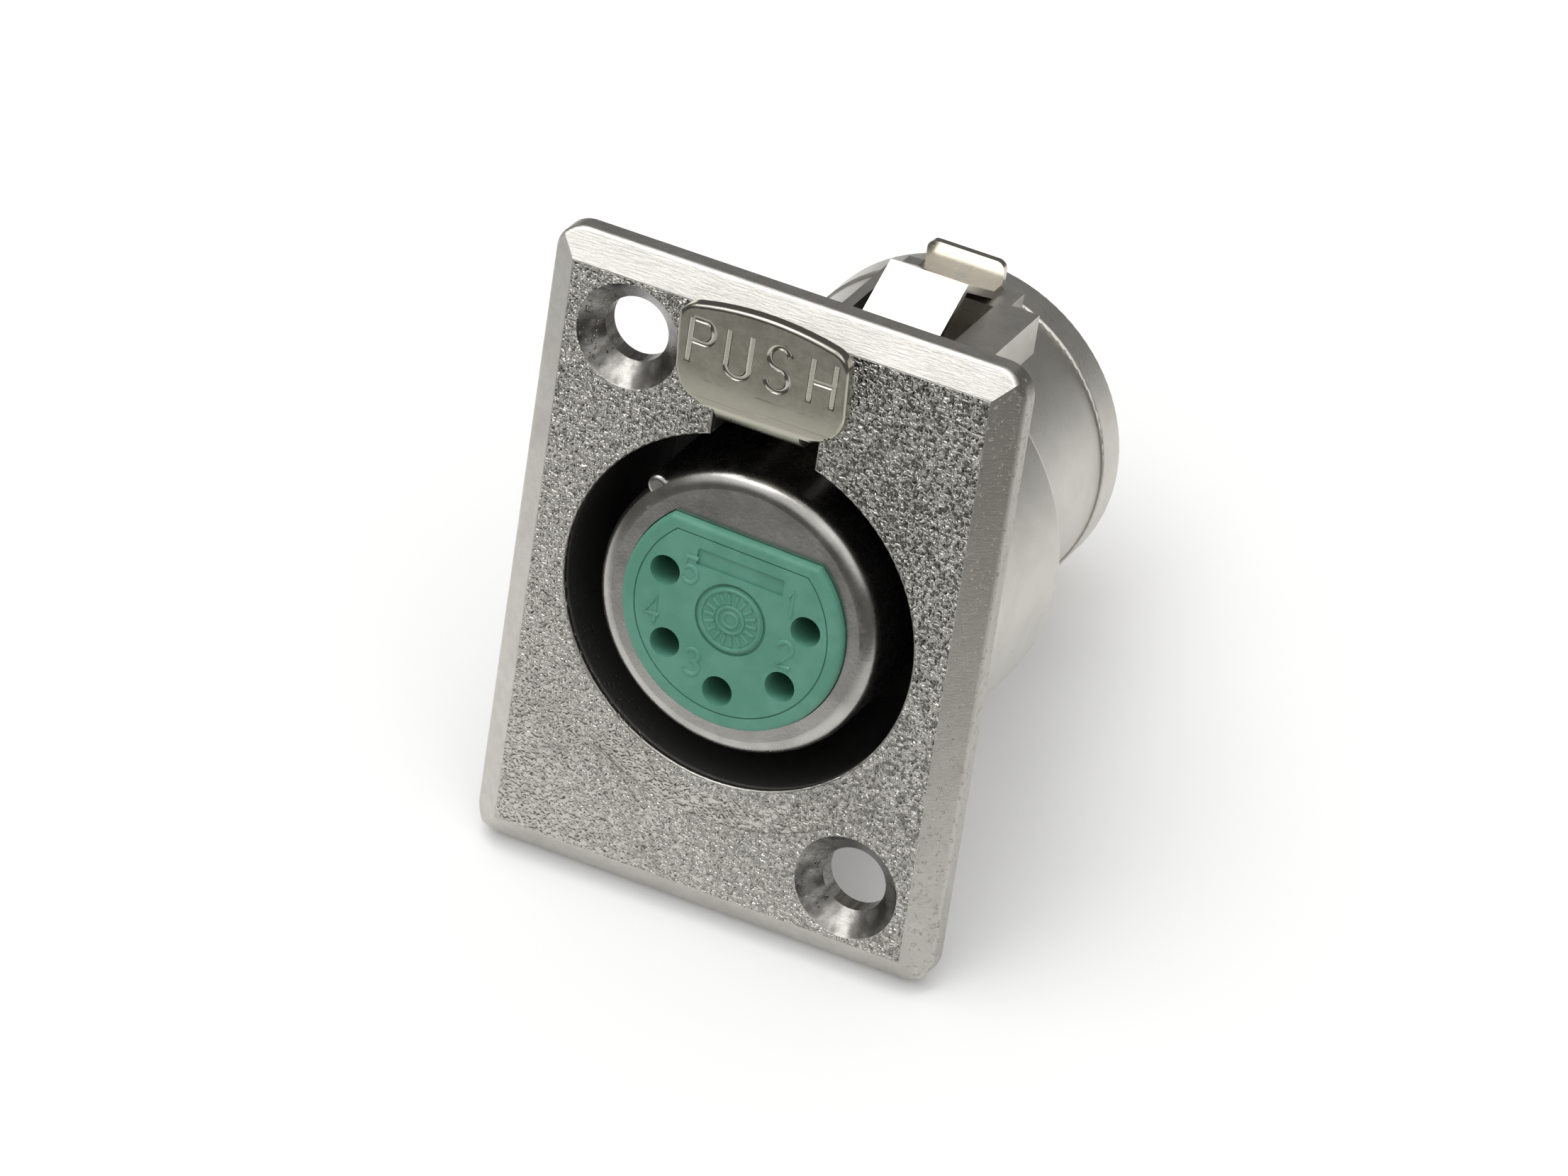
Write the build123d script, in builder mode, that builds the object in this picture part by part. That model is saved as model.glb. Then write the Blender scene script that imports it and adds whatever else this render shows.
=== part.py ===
"""Five-contact female XLR panel socket with a push latch, in millimetres.

X points right as seen from the front, Y points back into the panel and Z points up.
The origin is on the socket's axis, in the plane of the flange's rear face.
"""
import os
from math import atan2, cos, degrees, radians, sin, sqrt, tan

from build123d import *

# Flange
flange_width = 26.0
flange_height = 35.2
flange_thickness = 2.1
flange_corner_radius = 1.6
bevel_width = 1.45
bevel_height = 1.05
flange_rim_fillet = 0.35
flange_field_fillet = 0.12
opening_fillet = 0.12
banner_gap = 0.74
banner_width = 1.6
banner_sweep = 68.0
banner_depth = 0.06

# Fixing screws, at two opposite corners of the flange
screw_edge_x = 4.95
screw_edge_z = 4.6
screw_hole_diameter = 3.5
countersink_diameter = 5.7
countersink_angle = 90.0

# Cup round the plug's opening, and the barrel behind it
plug_gap = 1.96
opening_depth = 12.2
cup_wall = 1.88
cup_floor = 2.0
cup_rear_fillet = 0.5
barrel_wall = 1.31
barrel_length = 10.5
rim_length = 2.1
rim_height = 0.15
rim_fillet = 0.12

# Latch slot, its roof, and the boss behind the cup
slot_width = 5.8
slot_height = 3.05
roof_length = 6.5
roof_wall_x = 1.0
roof_wall_z = 0.8
boss_wall_left = 0.6
boss_wall_right = 2.3
boss_length = 8.1
boss_rise = 0.6
channel_floor_wall = 0.76
pad_rise = 0.2
pad_side = 0.4

# Latch lever
sheet = 0.7
lever_side_clearance = 0.55
arm_rise = 0.75
fold_radius = 1.7
tab_gap = 0.8
tab_width = 9.4
tab_side_height = 5.45
tab_crown = 0.75
tab_top_corner_radius = 1.2
tab_bottom_corner_radius = 2.0
tab_lean = 8.0
tab_drop = 0.72
crease_rise = 0.5
hook_front = 4.0
hook_ramp = 1.7
hook_flat = 0.5
hook_depth = 1.45
hook_width = 3.0
ear_radius = 1.0
ear_thickness = 0.8
tail_run = 1.35
tail_slope = 38.0

# Latch pin
pin_diameter = 1.0
pin_clearance = 0.05
pin_arm_gap = 0.05
pin_end_inset = 0.15

# Leaf spring and its rivet
spring_sheet = 0.4
spring_width = 4.4
spring_tail_gap = 0.17
spring_lip = 0.6
spring_lip_overlap = 0.3
spring_front_slope = 32.0
spring_front_run = 3.9
spring_rear_slope = 26.6
spring_seat = 1.0
spring_upturn = 1.2
spring_corner_radius = 0.5
rivet_diameter = 0.7
rivet_bite = 1.1

# Insert can
can_diameter = 15.48
can_wall = 0.5
can_setback = -0.3  # negative, as the can stands proud of the flange
can_edge_radius = 0.85
can_length = 21.3
can_seat_clearance = 0.05
can_lip = 0.62
window_margin = 1.54
window_cut = 1.6
key_angle = 134.0
key_width = 1.2
key_peak = 0.45
key_front_inset = 0.25
key_front_fillet = 0.25
key_rear_inset = 0.3

# Insulators
insert_turn = -1.9
insulator_clearance = 0.04
window_clearance = 0.06
front_insulator_length = 13.8
face_proud = 0.5
face_edge_radius = 0.3
groove_inset = 0.74
groove_chord_inset = 0.59
groove_width = 0.07
groove_depth = 0.08
recess_depth = 0.12
bar_width = 4.85
bar_height = 0.95
bar_corner_radius = 0.12
bar_place = (0.05, 2.8)
medallion_radius = 1.97
medallion_ring = 0.16

# Contacts
contact_count = 5
contact_positions = 7
last_contact_turn = 6.3
contact_inset = 2.04
entry_clearance = 0.025
entry_depth = 2.2
contact_wall = 0.4
contact_clearance = 0.05
contact_slot_width = 0.35
contact_slot_length = 6.0
contact_bore_depth = 8.0
collar_gap = 0.31
collar_step = 0.45
collar_length = 1.0
shank_step = 0.15
solder_cup_wall = 0.35
solder_cup_length = 4.5
solder_cup_end_wall = 0.8
contact_tail = 8.5
sleeve_wall = 0.22
sleeve_length = 6.4
sleeve_clearance = 0.03
sleeve_gap = 0.5
sleeve_setback = 0.2

# Set screw and earth tag
screw_diameter = 2.5
screw_clearance = 0.01
screw_recess = 0.25
screw_place = 5.3
screw_socket_flats = 1.3
screw_socket_depth = 0.6
tag_width = 3.0
tag_sheet = 0.5
tag_inset = 2.04
tag_end_gap = 0.34
tag_length = 8.0
tag_hole_diameter = 1.5

# Places that follow from the sizes above
can_radius = can_diameter / 2
can_inner_radius = can_radius - can_wall
opening_radius = can_radius + plug_gap
cup_radius = opening_radius + cup_wall
bore_radius = can_radius + can_seat_clearance
barrel_radius = bore_radius + barrel_wall
rim_radius = barrel_radius + rim_height
floor_depth = opening_depth - flange_thickness
cup_rear = floor_depth + cup_floor
band_start = cup_rear + barrel_length
barrel_rear = band_start + rim_length
screw_x = flange_width / 2 - screw_edge_x
screw_z = flange_height / 2 - screw_edge_z
channel_floor = bore_radius + channel_floor_wall
pad_top = barrel_radius + pad_rise
boss_top = barrel_radius + boss_rise
boss_rear = cup_rear + boss_length
boss_width = slot_width + boss_wall_left + boss_wall_right
slot_top = opening_radius + slot_height
roof_width = slot_width + 2 * roof_wall_x

arm_underside = opening_radius + arm_rise
arm_width = slot_width - 2 * lever_side_clearance
tab_front = -flange_thickness - tab_gap - sheet
fold_y = tab_front + fold_radius
fold_z = arm_underside + fold_radius
tab_bottom = fold_z - tab_drop
tab_side_top = tab_bottom + tab_side_height
tab_top = tab_side_top + tab_crown
crease_z = fold_z + crease_rise
tab_top_y = tab_front - (tab_top - crease_z) * tan(radians(tab_lean))
pin_radius = pin_diameter / 2
pin_y = floor_depth + ear_radius
pin_z = arm_underside - pin_arm_gap - pin_radius
pin_half_length = sqrt(cup_radius**2 - pin_z**2) - pin_end_inset
tail_bend_y = pin_y + pin_radius
tail_tip_y = tail_bend_y + tail_run
tail_tip_z = arm_underside - tail_run * tan(radians(tail_slope))

lip_top = tail_tip_z - spring_tail_gap
lip_front = tail_tip_y - spring_lip_overlap
lip_rear = lip_front + spring_lip
crest_y = lip_rear + spring_front_run
crest_z = lip_top + spring_front_run * tan(radians(spring_front_slope))
seat_top = pad_top + spring_sheet
seat_front = crest_y + (crest_z - seat_top) / tan(radians(spring_rear_slope))
seat_rear = seat_front + spring_seat
rivet_y = (seat_front + seat_rear) / 2

can_front = can_setback - flange_thickness
can_rear = can_front + can_length
plate_rear = can_front + can_wall
lip_inner_face = can_rear - can_wall
window_radius = can_radius - window_margin
window_chord = window_radius - window_cut
insulator_radius = can_inner_radius - insulator_clearance
insulator_face = can_front - face_proud
insulator_joint = plate_rear + front_insulator_length
groove_radius = window_radius - window_clearance - groove_inset
groove_chord = window_chord - window_clearance - groove_chord_inset
rear_insulator_length = lip_inner_face - insulator_joint
contact_circle_radius = window_radius - contact_inset
contact_pitch = 360 / contact_positions
contact_spacing = 2 * contact_circle_radius * sin(radians(contact_pitch / 2))
collar_diameter = contact_spacing - collar_gap
contact_diameter = collar_diameter - 2 * collar_step
contact_bore = contact_diameter - 2 * contact_wall
entry_diameter = contact_bore + 2 * entry_clearance
shank_diameter = contact_diameter - 2 * shank_step
solder_cup_bore = contact_diameter - 2 * solder_cup_wall
entry_rear = plate_rear + entry_depth
sleeve_radius = contact_diameter / 2 + sleeve_clearance + sleeve_wall
sleeve_bore_radius = sleeve_radius + contact_clearance
contact_front = entry_rear + sleeve_setback
contact_rear = lip_inner_face + contact_tail
set_screw_y = cup_rear + screw_place
tag_height = can_inner_radius - tag_inset
tag_foot = tag_inset - tag_end_gap


def facing_front(depth):
    """Sketch plane at a depth, with X right and Z up; extrusions come towards the viewer."""
    return Plane.XZ.offset(-depth)


def contact_place(number):
    """Centre of a numbered contact, as X and Z, with the middle number at the bottom."""
    middle = (contact_count + 1) / 2
    extra = last_contact_turn if number == contact_count else 0
    angle = radians((middle - number) * contact_pitch - extra + insert_turn)
    return contact_circle_radius * sin(angle), -contact_circle_radius * cos(angle)


contact_places = [contact_place(number) for number in range(1, contact_count + 1)]

os.makedirs("parts", exist_ok=True)

# Shell: flange, cup, barrel, boss and latch roof, cast in one
with BuildPart() as shell:
    with BuildSketch(Plane.XZ):
        Rectangle(flange_width, flange_height)
    extrude(amount=flange_thickness - bevel_height)
    with BuildSketch(facing_front(bevel_height - flange_thickness)):
        Rectangle(flange_width, flange_height)
    extrude(amount=bevel_height, taper=degrees(atan2(bevel_width, bevel_height)))
    with BuildSketch(Plane.XZ):
        RectangleRounded(flange_width, flange_height, flange_corner_radius)
    extrude(amount=flange_thickness, mode=Mode.INTERSECT)
    side_walls = shell.faces().filter_by(lambda face: abs(face.normal_at().Y) < 0.01)
    rear_edges = shell.faces().sort_by(Axis.Y)[-1].edges()
    fillet(side_walls.edges().filter_by(Axis.Y, reverse=True) - rear_edges, flange_rim_fillet)
    fillet(shell.faces().sort_by(Axis.Y)[0].edges(), flange_field_fillet)

    with BuildSketch(facing_front(cup_rear)):
        Circle(cup_radius)
    extrude(amount=cup_rear)
    cup_edge = shell.faces().sort_by(Axis.Y)[-1].edges()
    fillet(cup_edge, cup_rear_fillet)
    with BuildSketch(facing_front(barrel_rear)):
        Circle(barrel_radius)
    extrude(amount=barrel_rear - floor_depth)
    with BuildSketch(facing_front(barrel_rear)):
        Circle(rim_radius)
    extrude(amount=rim_length)
    rim_edges = shell.faces().filter_by(GeomType.CYLINDER).sort_by(Axis.Y)[-1].edges()
    fillet(rim_edges.filter_by(GeomType.CIRCLE), rim_fillet)

    with BuildSketch(facing_front(boss_rear)):
        with Locations((-slot_width / 2 - boss_wall_left, boss_top)):
            Rectangle(boss_width, boss_top, align=(Align.MIN, Align.MAX))
    extrude(amount=boss_length)
    with BuildSketch(facing_front(band_start)):
        with Locations((0, pad_top)):
            Rectangle(slot_width + 2 * pad_side, pad_top, align=(Align.CENTER, Align.MAX))
    extrude(amount=band_start - boss_rear)
    with BuildSketch(facing_front(roof_length)):
        with Locations((0, slot_top + roof_wall_z)):
            Rectangle(roof_width, slot_height + roof_wall_z, align=(Align.CENTER, Align.MAX))
    extrude(amount=roof_length)

    with BuildSketch(facing_front(floor_depth)):
        Circle(opening_radius)
    extrude(amount=opening_depth, mode=Mode.SUBTRACT)
    with BuildSketch(facing_front(barrel_rear)):
        Circle(bore_radius)
    extrude(amount=barrel_rear, mode=Mode.SUBTRACT)
    with BuildSketch(facing_front(cup_rear)):
        with Locations((0, channel_floor)):
            Rectangle(slot_width, slot_top - channel_floor, align=(Align.CENTER, Align.MIN))
    extrude(amount=cup_rear + flange_thickness, mode=Mode.SUBTRACT)
    with BuildSketch(facing_front(boss_rear)):
        with Locations((0, channel_floor)):
            Rectangle(slot_width, slot_height, align=(Align.CENTER, Align.MIN))
    extrude(amount=boss_length, mode=Mode.SUBTRACT)

    field_edges = shell.faces().sort_by(Axis.Y)[0].edges()
    fillet(field_edges.filter_by(lambda edge: edge.center().length < 2 * opening_radius), opening_fillet)

    with BuildSketch(facing_front(banner_depth - flange_thickness)):
        Circle(opening_radius + banner_gap + banner_width)
        Circle(opening_radius + banner_gap, mode=Mode.SUBTRACT)
        with BuildLine():
            reach = flange_height
            half_sweep = radians(banner_sweep / 2)
            Polyline((0, 0), (-reach * sin(half_sweep), -reach * cos(half_sweep)),
                     (reach * sin(half_sweep), -reach * cos(half_sweep)), close=True)
        make_face(mode=Mode.INTERSECT)
    extrude(amount=banner_depth, mode=Mode.SUBTRACT)

    with Locations(facing_front(-flange_thickness)):
        with Locations((-screw_x, screw_z), (screw_x, -screw_z)):
            CounterSinkHole(screw_hole_diameter / 2, countersink_diameter / 2,
                            counter_sink_angle=countersink_angle)
    with BuildSketch(Plane.YZ):
        with Locations((pin_y, pin_z)):
            Circle(pin_radius)
    extrude(amount=cup_radius, both=True, mode=Mode.SUBTRACT)
    with BuildSketch(Plane.XY):
        with Locations((0, rivet_y)):
            Circle(rivet_diameter / 2)
    extrude(amount=pad_top + rim_height, mode=Mode.SUBTRACT)
    with BuildSketch(Plane.XY):
        with Locations((0, set_screw_y)):
            Circle(screw_diameter / 2)
    extrude(amount=-rim_radius, mode=Mode.SUBTRACT)
shell.part.label = "shell"
export_step(shell.part, "parts/shell.step")

# Latch lever: push tab, fold, arm with its hook and ears, and tail, stamped in one
with BuildPart() as latch_lever:
    with BuildSketch(Plane.YZ):
        with BuildLine():
            bend_y = tail_bend_y + sheet * tan(radians(tail_slope / 2))
            corner_y = tail_tip_y + sheet * sin(radians(tail_slope))
            corner_z = tail_tip_z + sheet * cos(radians(tail_slope))
            CenterArc((fold_y, fold_z), fold_radius, 180, 90)
            Polyline((fold_y, arm_underside), (tail_bend_y, arm_underside), (tail_tip_y, tail_tip_z),
                     (corner_y, corner_z), (bend_y, arm_underside + sheet), (fold_y, arm_underside + sheet))
            CenterArc((fold_y, fold_z), fold_radius - sheet, 180, 90)
            Polyline((tab_front + sheet, fold_z), (tab_front + sheet, crease_z),
                     (tab_top_y + sheet, tab_top), (tab_top_y, tab_top),
                     (tab_front, crease_z), (tab_front, fold_z))
        make_face()
    extrude(amount=tab_width / 2, both=True)
    with BuildSketch(Plane.XZ) as lever_outline:
        with BuildLine():
            Polyline((-tab_width / 2, tab_side_top), (-tab_width / 2, tab_bottom),
                     (tab_width / 2, tab_bottom), (tab_width / 2, tab_side_top))
            ThreePointArc((-tab_width / 2, tab_side_top), (0, tab_top), (tab_width / 2, tab_side_top))
        make_face()
        fillet(lever_outline.vertices().sort_by(Axis.Y)[-2:], tab_top_corner_radius)
        fillet(lever_outline.vertices().sort_by(Axis.Y)[:2], tab_bottom_corner_radius)
        with Locations((0, tail_tip_z)):
            Rectangle(arm_width, fold_z - tail_tip_z, align=(Align.CENTER, Align.MIN))
    extrude(amount=tail_tip_y + sheet, both=True, mode=Mode.INTERSECT)

    with BuildSketch(Plane.YZ):
        with BuildLine():
            Polyline((hook_front, arm_underside), (hook_front + hook_ramp, arm_underside - hook_depth),
                     (hook_front + hook_ramp + hook_flat, arm_underside - hook_depth),
                     (hook_front + hook_ramp + hook_flat, arm_underside), close=True)
        make_face()
    extrude(amount=hook_width / 2, both=True)

    for side in (-1, 1):
        with BuildSketch(Plane.YZ.offset(side * arm_width / 2)):
            with Locations((pin_y, pin_z)):
                Circle(ear_radius)
            with Locations((pin_y, pin_z)):
                Rectangle(2 * ear_radius, arm_underside - pin_z, align=(Align.CENTER, Align.MIN))
        extrude(amount=-side * ear_thickness)
    with BuildSketch(Plane.YZ):
        with Locations((pin_y, pin_z)):
            Circle(pin_radius + pin_clearance)
    extrude(amount=arm_width, both=True, mode=Mode.SUBTRACT)
latch_lever.part.label = "latch_lever"
export_step(latch_lever.part, "parts/latch_lever.step")

# Pin that the lever turns on, pressed into the cup's wall on both sides of the slot
with BuildPart() as latch_pin:
    with BuildSketch(Plane.YZ):
        with Locations((pin_y, pin_z)):
            Circle(pin_radius)
    extrude(amount=pin_half_length, both=True)
latch_pin.part.label = "latch_pin"
export_step(latch_pin.part, "parts/latch_pin.step")

# Leaf spring: front lip under the lever's tail, hump, seat on the pad and upturned rear end
with BuildPart() as latch_spring:
    with BuildSketch(Plane.YZ):
        with BuildLine():
            Polyline((lip_front, lip_top), (lip_rear, lip_top), (crest_y, crest_z), (seat_front, seat_top),
                     (seat_rear, seat_top), (seat_rear, seat_top + spring_upturn))
            offset(amount=spring_sheet, side=Side.RIGHT, kind=Kind.INTERSECTION)
        make_face()
    extrude(amount=spring_width / 2, both=True)
    upturn_corners = latch_spring.edges().filter_by(Axis.Y).group_by(Axis.Z)[-1]
    fillet(upturn_corners, spring_corner_radius)
    with BuildSketch(Plane.XY.offset(pad_top)):
        with Locations((0, rivet_y)):
            Circle(rivet_diameter / 2)
    extrude(amount=spring_sheet, mode=Mode.SUBTRACT)
latch_spring.part.label = "latch_spring"
export_step(latch_spring.part, "parts/latch_spring.step")

# Flush rivet through the leaf spring's seat into the pad
with BuildPart() as spring_rivet:
    with BuildSketch(Plane.XY.offset(seat_top)):
        with Locations((0, rivet_y)):
            Circle(rivet_diameter / 2)
    extrude(amount=-rivet_bite - spring_sheet)
spring_rivet.part.label = "spring_rivet"
export_step(spring_rivet.part, "parts/spring_rivet.step")

# Insert can: drawn sleeve with a D-shaped window, a rolled-in rear lip and a key rib
with BuildPart() as insert_can:
    with BuildSketch(facing_front(can_rear)):
        Circle(can_radius)
    extrude(amount=can_length)
    fillet(insert_can.edges().group_by(Axis.Y)[0], can_edge_radius)
    with BuildSketch(facing_front(lip_inner_face)):
        Circle(can_inner_radius)
    extrude(amount=lip_inner_face - plate_rear, mode=Mode.SUBTRACT)
    with BuildSketch(facing_front(can_rear)):
        Circle(can_inner_radius - can_lip)
    extrude(amount=can_wall, mode=Mode.SUBTRACT)
    with BuildSketch(facing_front(plate_rear)):
        with Locations(Rotation(0, 0, insert_turn)):
            Circle(window_radius)
            with Locations((0, window_chord)):
                Rectangle(can_diameter, can_diameter, align=(Align.CENTER, Align.MAX), mode=Mode.INTERSECT)
    extrude(amount=can_wall, mode=Mode.SUBTRACT)
    key_x = (can_radius + key_peak - key_width / 2) * cos(radians(key_angle))
    key_z = (can_radius + key_peak - key_width / 2) * sin(radians(key_angle))
    key_front = can_front + key_front_inset
    with BuildSketch(facing_front(floor_depth - key_rear_inset)):
        with Locations((key_x, key_z)):
            Circle(key_width / 2)
        Circle(can_inner_radius, mode=Mode.SUBTRACT)
    extrude(amount=floor_depth - key_rear_inset - key_front)
    key_edges = insert_can.edges().filter_by_position(Axis.Y, key_front - 0.01, key_front + 0.01)
    fillet(key_edges.sort_by(Edge.length)[-1], key_front_fillet)
insert_can.part.label = "insert_can"
export_step(insert_can.part, "parts/insert_can.step")

# Front insulator: body in the can, D-shaped face in the window and the five entry holes
with BuildPart() as front_insulator:
    with BuildSketch(facing_front(plate_rear)):
        with Locations(Rotation(0, 0, insert_turn)):
            Circle(window_radius - window_clearance)
            with Locations((0, window_chord - window_clearance)):
                Rectangle(can_diameter, can_diameter, align=(Align.CENTER, Align.MAX), mode=Mode.INTERSECT)
    extrude(amount=can_wall + face_proud)
    fillet(front_insulator.edges().group_by(Axis.Y)[0], face_edge_radius)
    with BuildSketch(facing_front(insulator_joint)):
        Circle(insulator_radius)
    extrude(amount=front_insulator_length)

    with BuildSketch(facing_front(insulator_face)):
        with Locations(Rotation(0, 0, insert_turn)):
            Circle(groove_radius)
            with Locations((0, groove_chord)):
                Rectangle(can_diameter, can_diameter, align=(Align.CENTER, Align.MAX), mode=Mode.INTERSECT)
            offset(amount=-groove_width, mode=Mode.SUBTRACT)
    extrude(amount=-groove_depth, mode=Mode.SUBTRACT)
    with BuildSketch(facing_front(insulator_face)):
        with Locations(Rotation(0, 0, insert_turn)):
            with Locations(bar_place):
                RectangleRounded(bar_width, bar_height, bar_corner_radius)
            Circle(medallion_radius)
            Circle(medallion_radius - medallion_ring, mode=Mode.SUBTRACT)
    extrude(amount=-recess_depth, mode=Mode.SUBTRACT)

    with BuildSketch(facing_front(insulator_face)):
        with Locations(*contact_places):
            Circle(entry_diameter / 2)
    extrude(amount=-entry_depth - can_wall - face_proud, mode=Mode.SUBTRACT)
    with BuildSketch(facing_front(insulator_joint)):
        with Locations(*contact_places):
            Circle(sleeve_bore_radius)
    extrude(amount=front_insulator_length - entry_depth, mode=Mode.SUBTRACT)
front_insulator.part.label = "front_insulator"
export_step(front_insulator.part, "parts/front_insulator.step")

# Rear insulator: disc that holds the contacts' collars against the front insulator
with BuildPart() as rear_insulator:
    with BuildSketch(facing_front(lip_inner_face)):
        Circle(insulator_radius)
    extrude(amount=rear_insulator_length)
    with BuildSketch(facing_front(insulator_joint)):
        with Locations(*contact_places):
            Circle(collar_diameter / 2 + contact_clearance)
    extrude(amount=-collar_length, mode=Mode.SUBTRACT)
    with BuildSketch(facing_front(lip_inner_face)):
        with Locations(*contact_places):
            Circle(shank_diameter / 2 + contact_clearance)
    extrude(amount=rear_insulator_length, mode=Mode.SUBTRACT)
    with BuildSketch(facing_front(lip_inner_face)):
        with Locations((0, tag_height)):
            Rectangle(tag_width, can_radius, align=(Align.CENTER, Align.MIN))
    extrude(amount=tag_sheet, mode=Mode.SUBTRACT)
rear_insulator.part.label = "rear_insulator"
export_step(rear_insulator.part, "parts/rear_insulator.step")

# Contacts and their spring sleeves
for number, (contact_x, contact_z) in enumerate(contact_places, start=1):
    with BuildPart() as contact:
        with BuildSketch(facing_front(insulator_joint)):
            with Locations((contact_x, contact_z)):
                Circle(contact_diameter / 2)
        extrude(amount=insulator_joint - contact_front)
        with BuildSketch(facing_front(insulator_joint + collar_length)):
            with Locations((contact_x, contact_z)):
                Circle(collar_diameter / 2)
        extrude(amount=collar_length)
        with BuildSketch(facing_front(contact_rear)):
            with Locations((contact_x, contact_z)):
                Circle(shank_diameter / 2)
        extrude(amount=contact_rear - insulator_joint)
        with BuildSketch(facing_front(contact_rear)):
            with Locations((contact_x, contact_z)):
                Circle(contact_diameter / 2)
        extrude(amount=solder_cup_length)
        with BuildSketch(facing_front(contact_front)):
            with Locations((contact_x, contact_z)):
                Circle(contact_bore / 2)
        extrude(amount=-contact_bore_depth, mode=Mode.SUBTRACT)
        with BuildSketch(facing_front(contact_front)):
            with Locations((contact_x, contact_z)):
                Rectangle(contact_slot_width, contact_diameter)
        extrude(amount=-contact_slot_length, mode=Mode.SUBTRACT)
        with BuildSketch(facing_front(contact_rear)):
            with Locations((contact_x, contact_z)):
                Circle(solder_cup_bore / 2)
            with Locations((contact_x, contact_z)):
                Rectangle(solder_cup_bore, contact_diameter, align=(Align.CENTER, Align.MIN))
        extrude(amount=solder_cup_length - solder_cup_end_wall, mode=Mode.SUBTRACT)
    contact.part.label = f"contact_{number}"
    export_step(contact.part, f"parts/contact_{number}.step")

    with BuildPart() as contact_sleeve:
        with BuildSketch(facing_front(contact_front)):
            with Locations((contact_x, contact_z)):
                Circle(sleeve_radius)
            with Locations((contact_x, contact_z)):
                Circle(sleeve_radius - sleeve_wall, mode=Mode.SUBTRACT)
            with Locations((contact_x, contact_z)):
                Rectangle(sleeve_gap, sleeve_radius, align=(Align.CENTER, Align.MAX), mode=Mode.SUBTRACT)
        extrude(amount=-sleeve_length)
    contact_sleeve.part.label = f"contact_sleeve_{number}"
    export_step(contact_sleeve.part, f"parts/contact_sleeve_{number}.step")

# Set screw through the barrel's wall that holds the can
with BuildPart() as insert_screw:
    with BuildSketch(Plane.XY.offset(-can_radius)):
        with Locations((0, set_screw_y)):
            Circle(screw_diameter / 2 - screw_clearance)
    extrude(amount=can_radius + screw_recess - barrel_radius)
    with BuildSketch(Plane.XY.offset(screw_recess - barrel_radius)):
        with Locations((0, set_screw_y)):
            RegularPolygon(screw_socket_flats / 2, 6, major_radius=False)
    extrude(amount=screw_socket_depth, mode=Mode.SUBTRACT)
insert_screw.part.label = "insert_screw"
export_step(insert_screw.part, "parts/insert_screw.step")

# Earth tag: foot between the rear insulator and the can's lip, and a tail with a solder hole
with BuildPart() as ground_tag:
    with BuildSketch(facing_front(lip_inner_face)):
        with Locations((0, tag_height)):
            Rectangle(tag_width, tag_foot, align=(Align.CENTER, Align.MIN))
    extrude(amount=tag_sheet)
    with BuildSketch(Plane.XY.offset(tag_height)):
        with Locations((0, lip_inner_face - tag_sheet)):
            Rectangle(tag_width, tag_length, align=(Align.CENTER, Align.MIN))
        tag_end = lip_inner_face - tag_sheet + tag_length
        with Locations((0, tag_end)):
            Circle(tag_width / 2)
            Circle(tag_hole_diameter / 2, mode=Mode.SUBTRACT)
    extrude(amount=tag_sheet)
ground_tag.part.label = "ground_tag"
export_step(ground_tag.part, "parts/ground_tag.step")
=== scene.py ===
"""Looks of a five-contact female XLR panel socket: materials, small details, floor, light and camera.

Places are in metres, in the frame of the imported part: X right, Y back into the panel, Z up.
Sizes of details are written in millimetres and turned to metres by MM.
"""
import math

import bmesh
import bpy
from mathutils import Matrix, Vector


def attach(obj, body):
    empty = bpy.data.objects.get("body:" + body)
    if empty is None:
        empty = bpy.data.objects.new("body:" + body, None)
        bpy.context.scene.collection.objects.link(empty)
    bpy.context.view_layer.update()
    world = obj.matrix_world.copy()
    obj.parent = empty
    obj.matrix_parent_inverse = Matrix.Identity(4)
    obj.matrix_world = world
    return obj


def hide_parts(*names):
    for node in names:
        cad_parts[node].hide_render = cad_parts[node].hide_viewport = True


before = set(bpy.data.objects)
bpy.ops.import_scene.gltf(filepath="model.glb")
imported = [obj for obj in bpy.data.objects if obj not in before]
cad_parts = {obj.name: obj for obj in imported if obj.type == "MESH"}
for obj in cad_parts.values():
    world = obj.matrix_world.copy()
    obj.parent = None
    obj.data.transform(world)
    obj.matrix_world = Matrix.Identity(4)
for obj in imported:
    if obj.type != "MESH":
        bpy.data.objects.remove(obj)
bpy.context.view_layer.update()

MM = 0.001

# Camera: where it looks, from how far, and how it is turned
aim = Vector((1.14, 0.82, 0.64)) * MM
camera_distance = 0.5137
camera_azimuth = 21.325
camera_elevation = 28.364
camera_roll = 8.816
camera_lens = 234.4

# Floor: the object leans on the flange's rear bottom edge and on the barrel's rim
flange_foot = Vector((0, 0, -17.6)) * MM
rim_foot = Vector((0, 24.7, -9.25)) * MM
floor_up = Vector((0, flange_foot.z - rim_foot.z, rim_foot.y - flange_foot.y)).normalized()
floor_middle = Vector((-4, 18, -12)) * MM
floor_radius = 0.3
paper_tone = (0.84, 0.84, 0.835)

# Floor's white glow, from close to the object to far from it, in millimetres and as a share
glow_near = 60.0
glow_far = 200.0
glow_least = 0.12

# Dim room: how far off the low card darkens, in millimetres, and how high the dim walls reach, as a sine
card_start = 52.0
card_end = 125.0
card_lift = 0.3 * MM
wall_radius = 0.8
dim_height = 0.36
bright_height = 0.78
dim_tone = (0.13, 0.127, 0.122)
bright_tone = (1.25, 1.25, 1.235)

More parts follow.
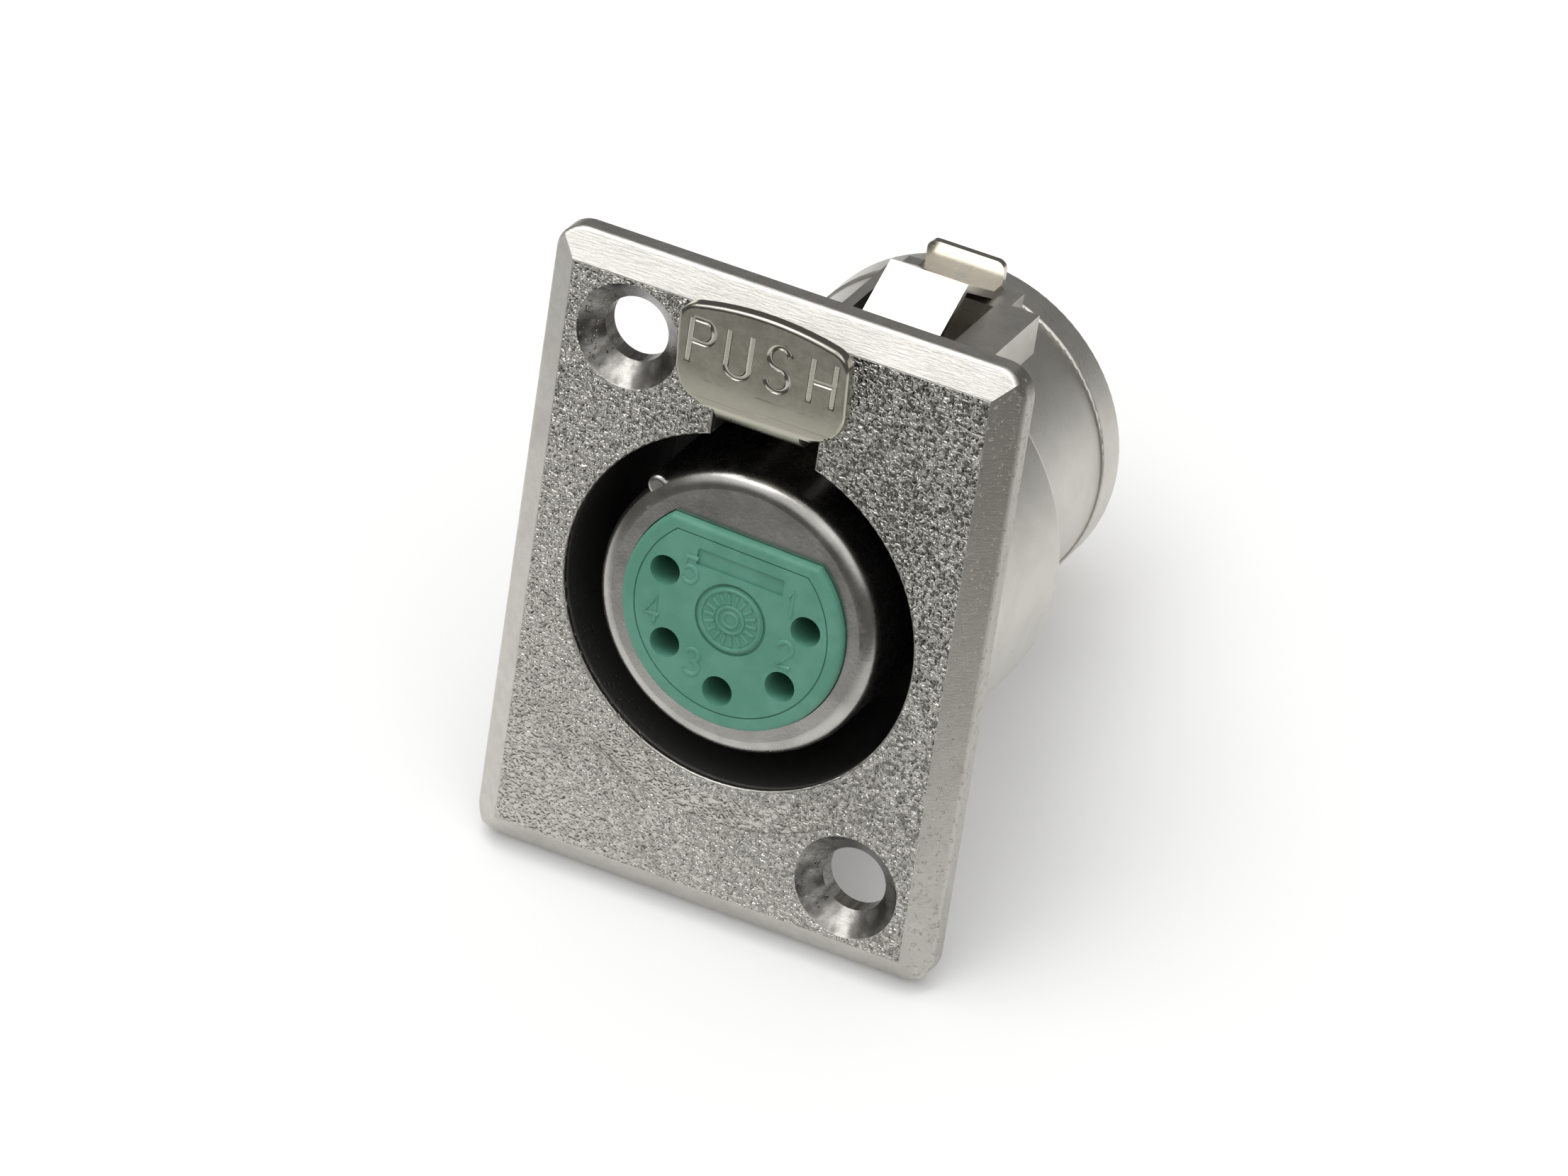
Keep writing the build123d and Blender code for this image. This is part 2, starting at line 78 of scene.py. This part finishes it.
# Front of the shell, in millimetres
field_y = -2.1
opening_radius = 9.7
opening_floor_y = 10.3
slot_half_width = 2.9
slot_foot_z = 7.0
slot_end_y = 20.4
# The field's grain depth and the painted shade in its pits both grade between these two places along X plus
# Z.
field_grain_and_shade_start = -26.0
field_grain_and_shade_end = 24.0
screw_x = 8.05
screw_z = 13.0
countersink_radius = 2.85

# Push tab's face and its letters
tab_lean = 8.0
tab_face_y = -3.6
tab_crease_z = 12.65
tab_crease_shade_z = 12.95
tab_corner_z = 11.5
tab_edge_radius = 0.22
weld_distance = 0.03
letter_foot_z = 13.68
letter_height = 2.66
letter_width = 1.26
letter_slant = 0.06
letter_places = {"P": -3.34, "U": -1.27, "S": 0.93, "H": 3.36}
groove_radius = 0.18
groove_sink = 0.13

# Digits, rings and ribs on the insulator's face
insulator_face_y = -2.9
digit_height = 1.4
digit_width = 0.82
digit_places = {"1": (3.15, 2.05), "2": (3.15, -0.83), "3": (-1.75, -3.0), "4": (-4.3, -0.82),
                "5": (-2.5, 2.0)}
digit_radius = 0.14
digit_rise = 0.09
ring_radii = (0.4, 0.72, 1.64)
rib_count = 18
rib_reach = (0.9, 1.45)
rib_radius = 0.1
rib_rise = 0.08


def direction(azimuth, elevation):
    """Unit vector towards a viewer at an azimuth and elevation, in degrees."""
    a = math.radians(azimuth)
    e = math.radians(elevation)
    return Vector((math.sin(a) * math.cos(e), -math.cos(a) * math.cos(e), math.sin(e)))


class Nodes:
    """Short ways to add and join the nodes of a material or of the world."""

    def __init__(self, tree):
        self.nodes = tree.nodes
        self.links = tree.links

    def add(self, kind, inputs=None, **settings):
        node = self.nodes.new(kind)
        for name, value in settings.items():
            setattr(node, name, value)
        for name, value in (inputs or {}).items():
            self.feed(node.inputs[name], value)
        return node

    def feed(self, socket, value):
        if isinstance(value, bpy.types.NodeSocket):
            self.links.new(value, socket)
        else:
            socket.default_value = value

    def vector(self, operation, a, b=(0, 0, 0), scale=1.0):
        node = self.add("ShaderNodeVectorMath", operation=operation)
        self.feed(node.inputs[0], a)
        if operation == "SCALE":
            self.feed(node.inputs["Scale"], scale)
        elif operation != "LENGTH":
            self.feed(node.inputs[1], b)
        return node.outputs["Value" if operation in ("LENGTH", "DOT_PRODUCT") else "Vector"]

    def math(self, operation, a, b=0.0):
        node = self.add("ShaderNodeMath", operation=operation)
        self.feed(node.inputs[0], a)
        self.feed(node.inputs[1], b)
        return node.outputs["Value"]

    def product(self, *factors):
        result = factors[0]
        for factor in factors[1:]:
            result = self.math("MULTIPLY", result, factor)
        return result

    def smooth(self, value, low, high, at_low=0.0, at_high=1.0):
        """Value that goes smoothly from at_low to at_high as another goes from low to high."""
        node = self.add("ShaderNodeMapRange", interpolation_type="SMOOTHSTEP")
        self.feed(node.inputs["Value"], value)
        self.feed(node.inputs["From Min"], low)
        self.feed(node.inputs["From Max"], high)
        self.feed(node.inputs["To Min"], at_low)
        self.feed(node.inputs["To Max"], at_high)
        return node.outputs["Result"]

    def mix(self, factor, a, b):
        """Colour between a and b."""
        node = self.add("ShaderNodeMix", data_type="RGBA")
        self.feed(node.inputs["Factor"], factor)
        self.feed(node.inputs[6], a)
        self.feed(node.inputs[7], b)
        return node.outputs[2]

    def blend(self, factor, a, b):
        """Plain number between a and b."""
        node = self.add("ShaderNodeMix", data_type="FLOAT")
        self.feed(node.inputs["Factor"], factor)
        self.feed(node.inputs[2], a)
        self.feed(node.inputs[3], b)
        return node.outputs[0]

    def shown(self):
        """One for the rays that show the background, straight or in metal and glass, and zero for light."""
        rays = self.add("ShaderNodeLightPath").outputs
        direct = self.math("MAXIMUM", rays["Is Camera Ray"], rays["Is Glossy Ray"])
        return self.math("MAXIMUM", direct, rays["Is Transmission Ray"])


class Graph(Nodes):
    """The node graph of one procedural material, with places in millimetres."""

    def __init__(self, name):
        self.material = bpy.data.materials.new(name)
        self.material.use_nodes = True
        super().__init__(self.material.node_tree)
        self.shader = self.nodes["Principled BSDF"]
        coordinates = self.add("ShaderNodeTexCoord").outputs
        self.place = self.vector("SCALE", coordinates["Object"], scale=1 / MM)
        self.x, self.y, self.z = self.add("ShaderNodeSeparateXYZ", {"Vector": self.place}).outputs
        facing = self.add("ShaderNodeSeparateXYZ", {"Vector": coordinates["Normal"]})
        self.normal_x, self.normal_y, self.normal_z = facing.outputs

    def stretched(self, scales):
        """Place with each axis multiplied, for grain that runs one way."""
        return self.vector("MULTIPLY", self.place, scales)

    def distance_to_line(self, x, z):
        """Distance from a line along Y through X and Z."""
        flat = self.vector("MULTIPLY", self.vector("SUBTRACT", self.place, (x, 0.0, z)), (1.0, 0.0, 1.0))
        return self.vector("LENGTH", flat)

    def noise(self, per_mm, detail=3.0, roughness=0.55, place=None):
        node = self.add("ShaderNodeTexNoise", {"Vector": place or self.place, "Scale": per_mm,
                                               "Detail": detail, "Roughness": roughness})
        return node.outputs["Fac"]

    def bump(self, height, depth_mm, under=None):
        """Normal of a surface with a height from 0 to 1, that stands for a depth."""
        inputs = {"Height": height, "Strength": 1.0, "Distance": depth_mm * MM}
        if under:
            inputs["Normal"] = under
        return self.add("ShaderNodeBump", inputs).outputs["Normal"]

    def cover(self, share, under, over):
        """Surface shader made of one shader under a share of another."""
        node = self.add("ShaderNodeMixShader")
        self.feed(node.inputs[0], share)
        self.feed(node.inputs[1], under)
        self.feed(node.inputs[2], over)
        return node.outputs[0]

    def finish(self, **sockets):
        """The material, with its shader's sockets fed."""
        names = {"color": "Base Color", "roughness": "Roughness", "metallic": "Metallic", "normal": "Normal"}
        for key, value in sockets.items():
            self.feed(self.shader.inputs[names[key]], value)
        return self.material


def colour(r, g, b):
    return (r, g, b, 1.0)


def wear(graph, clean, worn):
    """Base colour that drifts between a clean and a worn tone in soft patches."""
    patches = graph.smooth(graph.noise(0.35, detail=4.0), 0.4, 0.68)
    return graph.mix(graph.math("MULTIPLY", patches, 0.5), clean, worn)


def casting_material():
    """Nickel-plated casting: pebbled field with painted shade in its pits, brushed bevels with painted shade
    on the right one, machined countersinks with painted reflection streaks, and bore and slot painted near
    black as shade.
    """
    g = Graph("nickel_casting")
    facing = g.smooth(g.normal_y, -0.97, -0.995)
    radius = g.distance_to_line(0.0, 0.0)
    field = g.product(facing, g.smooth(g.y, field_y + 0.09, field_y + 0.07))
    banner = g.product(field, g.smooth(g.y, field_y + 0.02, field_y + 0.04))
    in_front = g.smooth(g.y, 0.1, 0.0)

    warp = g.add("ShaderNodeTexNoise", {"Vector": g.place, "Scale": 2.4, "Detail": 1.0})
    shift = g.vector("SCALE", g.vector("SUBTRACT", warp.outputs["Color"], (0.5, 0.5, 0.5)), scale=0.5)
    warped = g.vector("ADD", g.stretched((1.0, 1.0, 1.25)), shift)
    lumps = g.smooth(g.noise(3.7, detail=1.2, roughness=0.5, place=warped), 0.36, 0.6)
    cells = g.add("ShaderNodeTexVoronoi", {"Vector": warped, "Scale": 3.9, "Smoothness": 0.25,
                                           "Randomness": 1.0}, feature="SMOOTH_F1")
    knobs = g.smooth(cells.outputs["Distance"], 0.05, 0.6, 1.0, 0.0)
    grain = g.noise(8.0, detail=2.0, roughness=0.5)
    pebbles = g.math("ADD", g.math("MULTIPLY", lumps, 0.5), g.math("MULTIPLY", knobs, 0.6))
    pebbles = g.math("ADD", pebbles, g.math("MULTIPLY", grain, 0.15))

    scratches = g.noise(1.0, detail=5.0, roughness=0.75, place=g.stretched((1.1, 9.0, 9.0)))
    marks = g.smooth(g.noise(1.6, detail=5.0, roughness=0.75), 0.42, 0.62)
    pits = g.product(in_front, g.smooth(g.normal_x, 0.3, 0.5), g.smooth(g.noise(3.6, detail=2.0), 0.4, 0.3))
    behind_face = g.smooth(g.y, field_y + 0.18, field_y + 0.6)
    bore = g.product(g.smooth(radius, opening_radius + 0.08, opening_radius + 0.02),
                     g.smooth(g.y, opening_floor_y, opening_floor_y - 0.1), behind_face)
    inward = g.math("ADD", g.math("MULTIPLY", g.normal_x, g.x), g.math("MULTIPLY", g.normal_z, g.z))
    across = g.math("ABSOLUTE", g.x)
    slot = g.product(g.smooth(across, slot_half_width + 0.2, slot_half_width + 0.1),
                     g.smooth(inward, 0.0, -0.2), g.smooth(g.z, slot_foot_z, slot_foot_z + 0.5),
                     g.smooth(g.y, slot_end_y, slot_end_y - 0.1), behind_face)
    inside = g.math("MAXIMUM", bore, slot)

    smooth_parts = g.math("SUBTRACT", 1.0, g.math("MAXIMUM", field, inside))
    polished = g.bump(g.math("MULTIPLY", scratches, smooth_parts), 0.02)
    polished = g.bump(pits, -0.06, under=polished)
    upward = g.math("ADD", g.x, g.z)
    coarser = g.smooth(upward, field_grain_and_shade_start, field_grain_and_shade_end, 0.2, 2.1)
    depth = g.product(field, coarser, g.blend(banner, 1.0, 0.35))
    pebbled = g.bump(g.math("MULTIPLY", pebbles, depth), 0.27, under=polished)

    sinks = g.math("MINIMUM", g.distance_to_line(-screw_x, screw_z), g.distance_to_line(screw_x, -screw_z))
    machined = g.product(g.smooth(sinks, countersink_radius + 0.05, countersink_radius - 0.05),
                         g.smooth(g.normal_y, -0.9, -0.8))
    streak_place = g.add("ShaderNodeCombineXYZ", {"X": g.math("MULTIPLY", sinks, 0.8),
                                                  "Y": g.math("MULTIPLY", g.normal_x, 3.0),
                                                  "Z": g.math("MULTIPLY", g.normal_z, 3.0)})
    turned = g.smooth(g.noise(1.2, detail=2.0, place=streak_place.outputs["Vector"]), 0.34, 0.68)

    metal = wear(g, colour(0.6, 0.585, 0.545), colour(0.5, 0.485, 0.445))
    brushed = g.mix(g.product(in_front, marks, 0.3), metal, colour(0.42, 0.42, 0.39))
    # Painted shade: the right bevel in front of the panel is painted dark, more so towards the top.
    painted_side_shade = g.product(in_front, g.smooth(g.normal_x, 0.3, 0.5), g.smooth(g.z, -16.0, 14.0, 0.2, 0.75))
    brushed = g.mix(painted_side_shade, brushed, colour(0.33, 0.315, 0.28))
    # Painted shade: the pits of the pebbled field are painted dark, more so towards the upper right.
    painted_shade_gradient = g.smooth(upward, field_grain_and_shade_start, field_grain_and_shade_end, 0.25, 0.95)
    painted_hollow_shade = g.product(field, g.smooth(lumps, 0.7, 0.05), painted_shade_gradient)
    with_painted_hollow_shade = g.mix(painted_hollow_shade, brushed, colour(0.14, 0.135, 0.12))
    # Painted reflection and painted shade: the countersinks get radial streaks of dark and pale colour and
    # are dark overall; the same streaks vary the roughness.
    cut = g.mix(machined, with_painted_hollow_shade, g.mix(turned, colour(0.13, 0.125, 0.115), colour(0.4, 0.39, 0.365)))
    # Painted shade: the inside of the bore and of the slot is painted near black.
    shaded = g.mix(inside, cut, colour(0.05, 0.05, 0.049))
    base = g.blend(field, g.blend(g.noise(1.3), 0.24, 0.36), g.blend(grain, 0.18, 0.3))
    base = g.blend(machined, base, g.blend(turned, 0.12, 0.24))
    return g.finish(color=shaded, roughness=g.blend(inside, base, 0.2),
                    metallic=g.blend(inside, 1.0, 0.3), normal=pebbled)


def lever_material():
    """Satin steel of the latch lever: dull face, bright stamping and edges, a paler lower bend that is a
    painted sheen, and a thin line of painted crease shade.
    """
    g = Graph("satin_steel")
    # Painted sheen: the lower bend of the tab is painted paler, standing for its reflection of the floor.
    painted_fold_sheen = g.product(g.smooth(g.z, tab_crease_z + 1.3, tab_crease_z - 0.8), 0.8)
    clouds = g.smooth(g.noise(1.2, detail=5.0, roughness=0.7), 0.36, 0.64)
    face = g.mix(clouds, colour(0.25, 0.245, 0.2), colour(0.32, 0.31, 0.26))
    # Painted shade: a thin broken dark line is painted just above the crease.
    from_line = g.math("ABSOLUTE", g.math("SUBTRACT", g.z, tab_crease_shade_z))
    line = g.product(g.smooth(from_line, 0.08, 0.02), g.smooth(g.noise(0.8), 0.4, 0.6), 0.4)
    toned = g.mix(line, g.mix(painted_fold_sheen, face, colour(0.52, 0.5, 0.42)), colour(0.1, 0.1, 0.085))
    lean = g.math("MULTIPLY", g.math("SUBTRACT", g.z, tab_crease_z), math.tan(math.radians(tab_lean)))
    sunk = g.math("ADD", g.math("SUBTRACT", g.y, tab_face_y), lean)
    stamped = g.product(g.smooth(sunk, 0.01, 0.05), g.smooth(g.z, tab_crease_z, tab_crease_z + 0.6))
    bright = g.mix(stamped, toned, colour(0.47, 0.455, 0.395))
    grain = g.noise(7.0, detail=4.0)
    satin = g.blend(g.noise(0.9), 0.24, 0.34)
    return g.finish(color=bright, metallic=1.0, roughness=g.blend(stamped, satin, 0.14),
                    normal=g.bump(grain, 0.003))


def satin_metal(name, clean, worn, low, high, grain_mm=0.006, streak=(1.0, 1.0, 1.0)):
    """Plated or bright metal with fine grain, soft patches and some wear."""
    g = Graph(name)
    grain = g.noise(6.0, detail=4.0, place=g.stretched(streak))
    marks = g.smooth(g.noise(2.2, detail=5.0, roughness=0.65), 0.56, 0.7)
    roughness = g.blend(g.noise(0.9), low, high)
    return g.finish(color=wear(g, colour(*clean), colour(*worn)), metallic=1.0,
                    roughness=g.math("ADD", roughness, g.math("MULTIPLY", marks, 0.08)),
                    normal=g.bump(grain, grain_mm))


def plastic_material():
    """Green moulded plastic with a fine matte skin and faint clouding."""
    g = Graph("green_plastic")
    skin = g.noise(9.0, detail=3.0)
    clouds = g.smooth(g.noise(0.55, detail=4.0), 0.38, 0.66)
    specks = g.smooth(g.noise(7.0, detail=2.0), 0.66, 0.74)
    base = g.mix(clouds, colour(0.092, 0.275, 0.2), colour(0.115, 0.31, 0.235))
    tinted = g.mix(g.math("MULTIPLY", specks, 0.3), base, colour(0.15, 0.34, 0.26))
    g.feed(g.shader.inputs["Specular IOR Level"], 0.4)
    return g.finish(color=tinted, roughness=g.blend(skin, 0.42, 0.56), metallic=0.0,
                    normal=g.bump(skin, 0.012))


def dress(node, material):
    """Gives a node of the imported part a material."""
    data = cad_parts[node].data
    data.materials.clear()
    data.materials.append(material)


casting = casting_material()
can_metal = satin_metal("nickel_can", (0.48, 0.47, 0.445), (0.24, 0.237, 0.222), 0.2, 0.34, grain_mm=0.005)
lever_metal = lever_material()
pin_steel = satin_metal("steel_pin", (0.55, 0.54, 0.51), (0.40, 0.39, 0.37), 0.22, 0.35)
bronze = satin_metal("spring_bronze", (0.66, 0.63, 0.57), (0.56, 0.525, 0.455), 0.16, 0.24, grain_mm=0.003,
                     streak=(0.2, 1.2, 1.2))
gold = satin_metal("gold_plate", (0.86, 0.66, 0.28), (0.72, 0.52, 0.22), 0.2, 0.34)
tinned = satin_metal("tinned_brass", (0.68, 0.67, 0.64), (0.54, 0.52, 0.47), 0.25, 0.42)
plastic = plastic_material()

dress("shell", casting)
dress("insert_can", can_metal)
dress("latch_lever", lever_metal)
dress("latch_spring", bronze)
dress("ground_tag", tinned)
for name in ("latch_pin", "spring_rivet", "insert_screw"):
    dress(name, pin_steel)
for name in ("front_insulator", "rear_insulator"):
    dress(name, plastic)
for number in range(1, 6):
    dress(f"contact_{number}", gold)
    dress(f"contact_sleeve_{number}", bronze)


def arc(x, z, radius_x, radius_z, start, end, steps=16):
    """Points along part of an ellipse, as X and Z, from a start to an end angle in degrees."""
    angles = [math.radians(start + (end - start) * step / steps) for step in range(steps + 1)]
    return [(x + radius_x * math.cos(a), z + radius_z * math.sin(a)) for a in angles]


def glyph(character):
    """Strokes of a letter or digit in a box of one by one, each a list of points."""
    strokes = {
        "P": [[(0, 0), (0, 1)], [(0, 1)] + arc(0.62, 0.75, 0.38, 0.25, 90, -90) + [(0, 0.5)]],
        "U": [[(0, 1)] + arc(0.5, 0.22, 0.5, 0.22, 180, 360) + [(1, 1)]],
        "S": [arc(0.5, 0.76, 0.46, 0.24, 15, 270) + arc(0.5, 0.26, 0.5, 0.26, 90, -165)],
        "H": [[(0, 0), (0, 1)], [(1, 0), (1, 1)], [(0, 0.5), (1, 0.5)]],
        "1": [[(0.2, 0.75), (0.5, 1), (0.5, 0)]],
        "2": [arc(0.5, 0.72, 0.5, 0.28, 165, -35) + [(0.05, 0), (1, 0)]],
        "3": [arc(0.5, 0.76, 0.44, 0.24, 150, -90) + arc(0.5, 0.26, 0.5, 0.26, 90, -150)],
        "4": [[(0.75, 0), (0.75, 1), (0, 0.3), (1, 0.3)]],
        "5": [[(0.9, 1), (0.15, 1), (0.1, 0.56)] + arc(0.46, 0.33, 0.5, 0.33, 130, -150)],
    }
    return strokes[character]


def tubes(name, lines, radius):
    """Mesh of round bars along lines of points in millimetres."""
    curve = bpy.data.curves.new(name, "CURVE")
    curve.dimensions = "3D"
    curve.bevel_depth = radius * MM
    curve.bevel_resolution = 4
    curve.use_fill_caps = True
    for line in lines:
        spline = curve.splines.new("POLY")
        spline.points.add(len(line) - 1)
        for point, place in zip(spline.points, line):
            point.co = (*(Vector(place) * MM), 1.0)
    holder = bpy.data.objects.new(name, curve)
    mesh = bpy.data.meshes.new_from_object(holder)
    bpy.data.objects.remove(holder)
    return mesh


def add_piece(name, mesh, material):
    """Object of a mesh in the scene, with one material."""
    mesh.materials.clear()
    mesh.materials.append(material)
    piece = bpy.data.objects.new(name, mesh)
    bpy.context.scene.collection.objects.link(piece)
    return piece


def shade(mesh, angle=50.0):
    """Smooth shading that keeps edges sharper than an angle."""
    for face in mesh.polygons:
        face.use_smooth = True
    mesh.set_sharp_from_angle(angle=math.radians(angle))


def shade_rolled(mesh, angle=40.0, flat_area=14.0, flat_angle=9.0, most_weight=0.3):
    """Smooth shading in which large flat faces stay flat up to their rolled edges."""
    flats = [face.normal.copy() for face in mesh.polygons if face.area > flat_area * MM**2]
    same = math.cos(math.radians(flat_angle))
    levels = []
    around = {}
    for face in mesh.polygons:
        face.use_smooth = True
        flat = max(flats, key=face.normal.dot)
        levels.append(flat if face.normal.dot(flat) > same else None)
        for vertex in face.vertices:
            around.setdefault(vertex, []).append(face)
    limit = math.cos(math.radians(angle))
    normals = []
    for face in mesh.polygons:
        for vertex in face.vertices:
            normal = levels[face.index]
            if normal is None:
                near = [other for other in around[vertex] if other.normal.dot(face.normal) > limit]
                beside = [levels[other.index] for other in near if levels[other.index]]
                weighed = [other.normal * min(other.area, most_weight * MM**2) for other in near]
                normal = sum(beside or weighed, Vector()).normalized()
            normals.append(normal)
    mesh.normals_split_custom_set(normals)


def apply_modifiers(piece):
    """Puts the result of a piece's modifiers in its mesh."""
    graph = bpy.context.evaluated_depsgraph_get()
    result = bpy.data.meshes.new_from_object(piece.evaluated_get(graph))
    piece.modifiers.clear()
    piece.data = result


def weigh_front_edges(mesh):
    """Bevel weight on the sharp edges round the front of the push tab, once its flat faces are whole."""
    shape = bmesh.new()
    shape.from_mesh(mesh)
    bmesh.ops.dissolve_limit(shape, angle_limit=math.radians(0.5), verts=shape.verts, edges=shape.edges)
    weights = shape.edges.layers.float.new("bevel_weight_edge")
    for edge in shape.edges:
        if len(edge.link_faces) == 2 and edge.calc_face_angle() > math.radians(50):
            forward = sorted(face.normal.y for face in edge.link_faces)
            high = min(vertex.co.z for vertex in edge.verts) > tab_corner_z * MM
            if high and forward[0] < -0.3 and abs(forward[1]) < 0.3:
                edge[weights] = 1.0
    shape.to_mesh(mesh)
    shape.free()


def push_lever():
    """The latch lever with rolled edges and the four stamped letters, in place of its plain node."""
    piece = add_piece("push_lever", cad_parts["latch_lever"].data.copy(), lever_metal)
    merge = piece.modifiers.new("merge", "WELD")
    merge.merge_threshold = weld_distance * MM
    apply_modifiers(piece)
    weigh_front_edges(piece.data)
    rolled = piece.modifiers.new("rolled", "BEVEL")
    rolled.width = tab_edge_radius * MM
    rolled.segments = 4
    rolled.use_clamp_overlap = False
    rolled.limit_method = "WEIGHT"
    apply_modifiers(piece)

    lines = []
    for letter, middle in letter_places.items():
        for stroke in glyph(letter):
            line = []
            for across, up in stroke:
                x = middle + (across - 0.5) * letter_width + (up - 0.5) * letter_height * letter_slant
                z = letter_foot_z + up * letter_height
                face = tab_face_y - (z - tab_crease_z) * math.tan(math.radians(tab_lean))
                line.append((x, face - groove_radius + groove_sink, z))
            lines.append(line)
    cutter = bpy.data.objects.new("letters", tubes("letters", lines, groove_radius))
    bpy.context.scene.collection.objects.link(cutter)
    stamped = piece.modifiers.new("stamped", "BOOLEAN")
    stamped.operation = "DIFFERENCE"
    stamped.solver = "EXACT"
    stamped.use_self = True
    stamped.object = cutter
    apply_modifiers(piece)
    bpy.data.objects.remove(cutter)

    shade_rolled(piece.data)
    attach(piece, "latch")
    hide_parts("latch_lever")


def insulator_marks():
    """Raised digits beside the entry holes, and the rings and ribs in the middle."""
    lines = []
    digit_y = insulator_face_y + digit_radius - digit_rise
    for digit, (middle_x, middle_z) in digit_places.items():
        for stroke in glyph(digit):
            lines.append([(middle_x + (across - 0.5) * digit_width, digit_y,
                           middle_z + (up - 0.5) * digit_height) for across, up in stroke])
    digits = add_piece("digits", tubes("digits", lines, digit_radius), plastic)

    ring_y = insulator_face_y + rib_radius - rib_rise
    rings = []
    for radius in ring_radii:
        rings.append([(x, ring_y, z) for x, z in arc(0.0, 0.0, radius, radius, 0, 360, steps=72)])
    for number in range(rib_count):
        angle = 2 * math.pi * number / rib_count
        rings.append([(reach * math.cos(angle), ring_y, reach * math.sin(angle)) for reach in rib_reach])
    medallion = add_piece("medallion", tubes("medallion", rings, rib_radius), plastic)
    for piece in (digits, medallion):
        shade(piece.data)
        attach(piece, "housing")


def add_stage(name, shape, material, place):
    """Object of the stage, turned so that its Z runs along the floor's upward direction."""
    mesh = bpy.data.meshes.new(name)
    shape.to_mesh(mesh)
    shape.free()
    piece = add_piece(name, mesh, material)
    piece.location = place
    piece.rotation_euler = floor_up.to_track_quat("Z", "Y").to_euler()
    return piece


def floor_disc():
    shape = bmesh.new()
    bmesh.ops.create_circle(shape, cap_ends=True, segments=96, radius=floor_radius)
    return shape


def stage_floor():
    """Pale surface that the object leans on: white to the camera, with the object's shadow."""
    g = Graph("floor_paper")
    behind = g.add("ShaderNodeNewGeometry").outputs
    from_middle = g.vector("SUBTRACT", behind["Position"], floor_middle)
    away = g.vector("LENGTH", g.vector("SCALE", from_middle, scale=1 / MM))
    paper = g.add("ShaderNodeBsdfDiffuse", {"Color": colour(*paper_tone)}).outputs[0]
    glow = g.add("ShaderNodeEmission", {"Color": colour(1.0, 1.0, 1.0)}).outputs[0]
    clear = g.add("ShaderNodeBsdfTransparent").outputs[0]
    share = g.math("MULTIPLY", g.shown(), g.smooth(away, glow_near, glow_far, glow_least, 1.0))
    surface = g.cover(behind["Backfacing"], g.cover(share, paper, glow), clear)
    g.feed(g.nodes["Material Output"].inputs["Surface"], surface)
    add_stage("floor", floor_disc(), g.material, flange_foot)


def dark_room():
    """Dim cards on the floor and round the room, which only the metal's reflections show."""
    g = Graph("dark_card")
    place = g.add("ShaderNodeNewGeometry").outputs["Position"]
    from_middle = g.vector("SUBTRACT", place, floor_middle)
    away = g.vector("LENGTH", g.vector("SCALE", from_middle, scale=1 / MM))
    height = g.vector("DOT_PRODUCT", g.vector("NORMALIZE", from_middle), floor_up)
    dark = g.math("MULTIPLY", g.smooth(away, card_start, card_end),
                  g.smooth(height, dim_height, bright_height, 1.0, 0.0))
    clear = g.add("ShaderNodeBsdfTransparent").outputs[0]
    dim = g.add("ShaderNodeEmission", {"Color": colour(*dim_tone)}).outputs[0]
    g.feed(g.nodes["Material Output"].inputs["Surface"], g.cover(dark, clear, dim))

    ball = bmesh.new()
    bmesh.ops.create_icosphere(ball, subdivisions=4, radius=wall_radius)
    low_card = add_stage("low_card", floor_disc(), g.material, flange_foot + card_lift * floor_up)
    wall_card = add_stage("wall_card", ball, g.material, flange_foot)
    for card in (low_card, wall_card):
        card.visible_camera = False
        card.visible_diffuse = False
        card.visible_shadow = False


def soft_lamp(name, azimuth, elevation, distance, size, power):
    """Square soft lamp that points at the object."""
    data = bpy.data.lights.new(name, "AREA")
    data.size = size
    data.energy = power
    lamp = bpy.data.objects.new(name, data)
    towards = direction(azimuth, elevation)
    lamp.location = towards * distance
    lamp.rotation_euler = towards.to_track_quat("Z", "Y").to_euler()
    bpy.context.scene.collection.objects.link(lamp)


def room():
    """World: a bright ceiling over a dim room, and white where the camera or the metal sees it."""
    world = bpy.data.worlds.new("room")
    world.use_nodes = True
    g = Nodes(world.node_tree)
    towards = g.add("ShaderNodeTexCoord").outputs["Generated"]
    ceiling = g.smooth(g.vector("DOT_PRODUCT", towards, floor_up), dim_height, bright_height)
    light = g.mix(ceiling, colour(*dim_tone), colour(*bright_tone))
    g.feed(g.nodes["Background"].inputs["Color"], g.mix(g.shown(), light, colour(1.0, 1.0, 1.0)))
    bpy.context.scene.world = world


def camera():
    """The photograph's camera."""
    data = bpy.data.cameras.new("camera")
    data.sensor_width = 36.0
    data.lens = camera_lens
    data.clip_start = 0.01
    data.clip_end = 10.0
    view = bpy.data.objects.new("camera", data)
    towards = direction(camera_azimuth, camera_elevation)
    turn = towards.to_track_quat("Z", "Y").to_matrix().to_4x4()
    roll = Matrix.Rotation(math.radians(camera_roll), 4, "Z")
    view.matrix_world = Matrix.Translation(aim + towards * camera_distance) @ turn @ roll
    bpy.context.scene.collection.objects.link(view)
    bpy.context.scene.camera = view


push_lever()
insulator_marks()
stage_floor()
dark_room()
soft_lamp("key", azimuth=-48, elevation=66, distance=0.5, size=0.36, power=1.1)
soft_lamp("fill", azimuth=60, elevation=35, distance=0.6, size=0.4, power=0.3)
room()
camera()
bpy.context.scene.view_settings.view_transform = "Standard"
